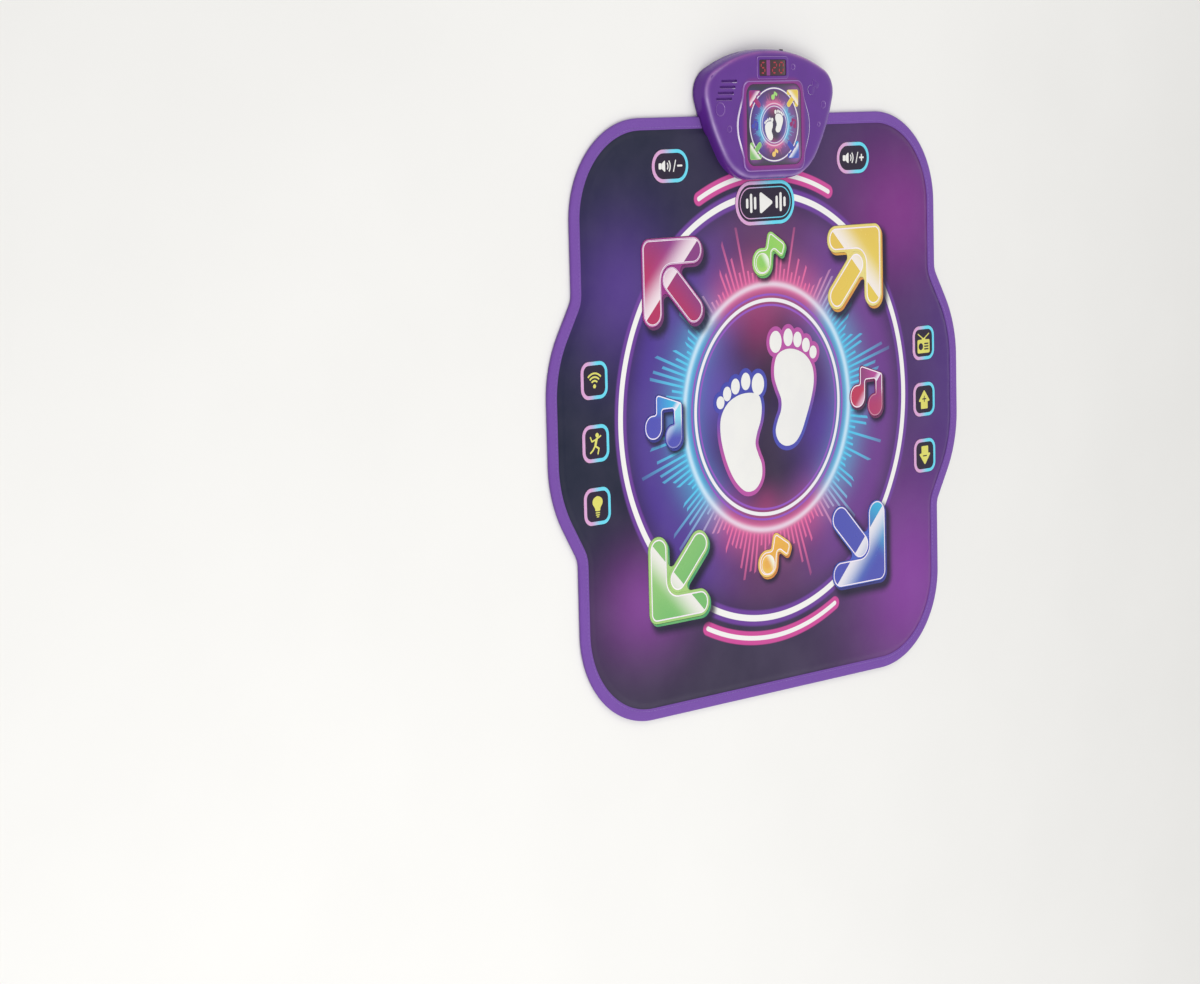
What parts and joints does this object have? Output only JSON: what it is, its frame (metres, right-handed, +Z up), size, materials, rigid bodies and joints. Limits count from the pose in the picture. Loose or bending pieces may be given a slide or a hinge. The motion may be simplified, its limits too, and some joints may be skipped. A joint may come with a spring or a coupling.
{
  "type": "electronic dance mat",
  "caption": "Padded floor mat with arrow, note and mode press pads in a printed cover, bound at the edge, and a rounded control box with display clamped over its top edge.",
  "frame": {"origin": "centre of the play ring on the floor face of the mat", "axes": "+Y towards the control box, +X to the player's right, +Z up from the floor"},
  "size_m": [0.94, 0.9935, 0.031],
  "materials": {
    "cover": "printed foam-backed laminate, satin",
    "base": "woven non-slip base cloth",
    "foam": "soft foam",
    "film": "thin polyester film",
    "binding": "sewn edge tape",
    "pad_red": "translucent printed pad",
    "pad_yellow": "translucent printed pad",
    "pad_green": "translucent printed pad",
    "pad_blue": "translucent printed pad",
    "pad_orange": "translucent printed pad",
    "pad_dark": "printed pad",
    "housing": "moulded, glossy",
    "panel": "printed picture plate",
    "lens": "tinted clear",
    "module": "display block",
    "board": "circuit board",
    "led": "light source",
    "steel": "plated steel",
    "spring": "nickel-plated",
    "cell": "wrapped cell",
    "cone": "speaker cone paper",
    "black": "black plastic",
    "rubber": "soft rubber"
  },
  "bodies": {
    "mat": {"top_cover": "cover", "bottom_sheet": "base", "padding_foam": "foam", "spacer_foam": "foam", "lower_circuit_film": "film", "upper_circuit_film": "film", "flex_tail": "film", "edge_binding": "binding", "upper_housing": "housing", "lower_housing": "housing", "picture_panel": "panel", "display_lens": "lens", "display_module": "module", "main_board": "board", "arrow_led_1": "led", "arrow_led_2": "led", "arrow_led_3": "led", "arrow_led_4": "led", "speaker_frame": "steel", "housing_screw_1": "steel", "housing_screw_2": "steel", "housing_screw_3": "steel", "housing_screw_4": "steel", "housing_screw_5": "steel", "housing_screw_6": "steel", "battery_contact_front": "spring", "battery_contact_rear": "spring", "battery_1": "cell", "battery_2": "cell", "battery_3": "cell", "battery_4": "cell", "speaker_cone": "cone", "power_switch_body": "black", "tail_clamp": "black", "rubber_foot_1": "rubber", "rubber_foot_2": "rubber", "rubber_foot_3": "rubber", "rubber_foot_4": "rubber"},
    "arrow_pad_red_body": {"arrow_pad_red": "pad_red"},
    "arrow_pad_yellow_body": {"arrow_pad_yellow": "pad_yellow"},
    "arrow_pad_green_body": {"arrow_pad_green": "pad_green"},
    "arrow_pad_blue_body": {"arrow_pad_blue": "pad_blue"},
    "note_pad_green_body": {"note_pad_green": "pad_green"},
    "note_pad_orange_body": {"note_pad_orange": "pad_orange"},
    "note_pad_blue_body": {"note_pad_blue": "pad_blue"},
    "note_pad_red_body": {"note_pad_red": "pad_red"},
    "start_pad_body": {"start_pad": "pad_dark"},
    "volume_down_pad_body": {"volume_down_pad": "pad_dark"},
    "volume_up_pad_body": {"volume_up_pad": "pad_dark"},
    "wireless_pad_body": {"wireless_pad": "pad_dark"},
    "free_dance_pad_body": {"free_dance_pad": "pad_dark"},
    "memory_pad_body": {"memory_pad": "pad_dark"},
    "radio_pad_body": {"radio_pad": "pad_dark"},
    "level_up_pad_body": {"level_up_pad": "pad_dark"},
    "level_down_pad_body": {"level_down_pad": "pad_dark"},
    "battery_door_body": {"battery_door": "housing", "battery_door_screw": "steel"},
    "power_switch_slider_body": {"power_switch_slider": "black"}
  },
  "joints": [
    {"name": "arrow_pad_red_press", "type": "slide", "parent": "mat", "child": "arrow_pad_red_body", "axis": [0, 0, -1], "range_m": [0, 0.0012], "stiffness_N_per_m": 3000, "springref_m": -0.0002},
    {"name": "arrow_pad_yellow_press", "type": "slide", "parent": "mat", "child": "arrow_pad_yellow_body", "axis": [0, 0, -1], "range_m": [0, 0.0012], "stiffness_N_per_m": 3000, "springref_m": -0.0002},
    {"name": "arrow_pad_green_press", "type": "slide", "parent": "mat", "child": "arrow_pad_green_body", "axis": [0, 0, -1], "range_m": [0, 0.0012], "stiffness_N_per_m": 3000, "springref_m": -0.0002},
    {"name": "arrow_pad_blue_press", "type": "slide", "parent": "mat", "child": "arrow_pad_blue_body", "axis": [0, 0, -1], "range_m": [0, 0.0012], "stiffness_N_per_m": 3000, "springref_m": -0.0002},
    {"name": "note_pad_green_press", "type": "slide", "parent": "mat", "child": "note_pad_green_body", "axis": [0, 0, -1], "range_m": [0, 0.0012], "stiffness_N_per_m": 3000, "springref_m": -0.0002},
    {"name": "note_pad_orange_press", "type": "slide", "parent": "mat", "child": "note_pad_orange_body", "axis": [0, 0, -1], "range_m": [0, 0.0012], "stiffness_N_per_m": 3000, "springref_m": -0.0002},
    {"name": "note_pad_blue_press", "type": "slide", "parent": "mat", "child": "note_pad_blue_body", "axis": [0, 0, -1], "range_m": [0, 0.0012], "stiffness_N_per_m": 3000, "springref_m": -0.0002},
    {"name": "note_pad_red_press", "type": "slide", "parent": "mat", "child": "note_pad_red_body", "axis": [0, 0, -1], "range_m": [0, 0.0012], "stiffness_N_per_m": 3000, "springref_m": -0.0002},
    {"name": "start_pad_press", "type": "slide", "parent": "mat", "child": "start_pad_body", "axis": [0, 0, -1], "range_m": [0, 0.0012], "stiffness_N_per_m": 3000, "springref_m": -0.0002},
    {"name": "volume_down_pad_press", "type": "slide", "parent": "mat", "child": "volume_down_pad_body", "axis": [0, 0, -1], "range_m": [0, 0.0012], "stiffness_N_per_m": 3000, "springref_m": -0.0002},
    {"name": "volume_up_pad_press", "type": "slide", "parent": "mat", "child": "volume_up_pad_body", "axis": [0, 0, -1], "range_m": [0, 0.0012], "stiffness_N_per_m": 3000, "springref_m": -0.0002},
    {"name": "wireless_pad_press", "type": "slide", "parent": "mat", "child": "wireless_pad_body", "axis": [0, 0, -1], "range_m": [0, 0.0012], "stiffness_N_per_m": 3000, "springref_m": -0.0002},
    {"name": "free_dance_pad_press", "type": "slide", "parent": "mat", "child": "free_dance_pad_body", "axis": [0, 0, -1], "range_m": [0, 0.0012], "stiffness_N_per_m": 3000, "springref_m": -0.0002},
    {"name": "memory_pad_press", "type": "slide", "parent": "mat", "child": "memory_pad_body", "axis": [0, 0, -1], "range_m": [0, 0.0012], "stiffness_N_per_m": 3000, "springref_m": -0.0002},
    {"name": "radio_pad_press", "type": "slide", "parent": "mat", "child": "radio_pad_body", "axis": [0, 0, -1], "range_m": [0, 0.0012], "stiffness_N_per_m": 3000, "springref_m": -0.0002},
    {"name": "level_up_pad_press", "type": "slide", "parent": "mat", "child": "level_up_pad_body", "axis": [0, 0, -1], "range_m": [0, 0.0012], "stiffness_N_per_m": 3000, "springref_m": -0.0002},
    {"name": "level_down_pad_press", "type": "slide", "parent": "mat", "child": "level_down_pad_body", "axis": [0, 0, -1], "range_m": [0, 0.0012], "stiffness_N_per_m": 3000, "springref_m": -0.0002},
    {"name": "battery_door_hinge", "type": "hinge", "parent": "mat", "child": "battery_door_body", "pos_m": [0, 0.4643, 0.002], "axis": [-1, 0, 0], "range_deg": [0, 60]},
    {"name": "power_switch_slide", "type": "slide", "parent": "mat", "child": "power_switch_slider_body", "axis": [1, 0, 0], "range_m": [0, 0.004]}
  ]
}
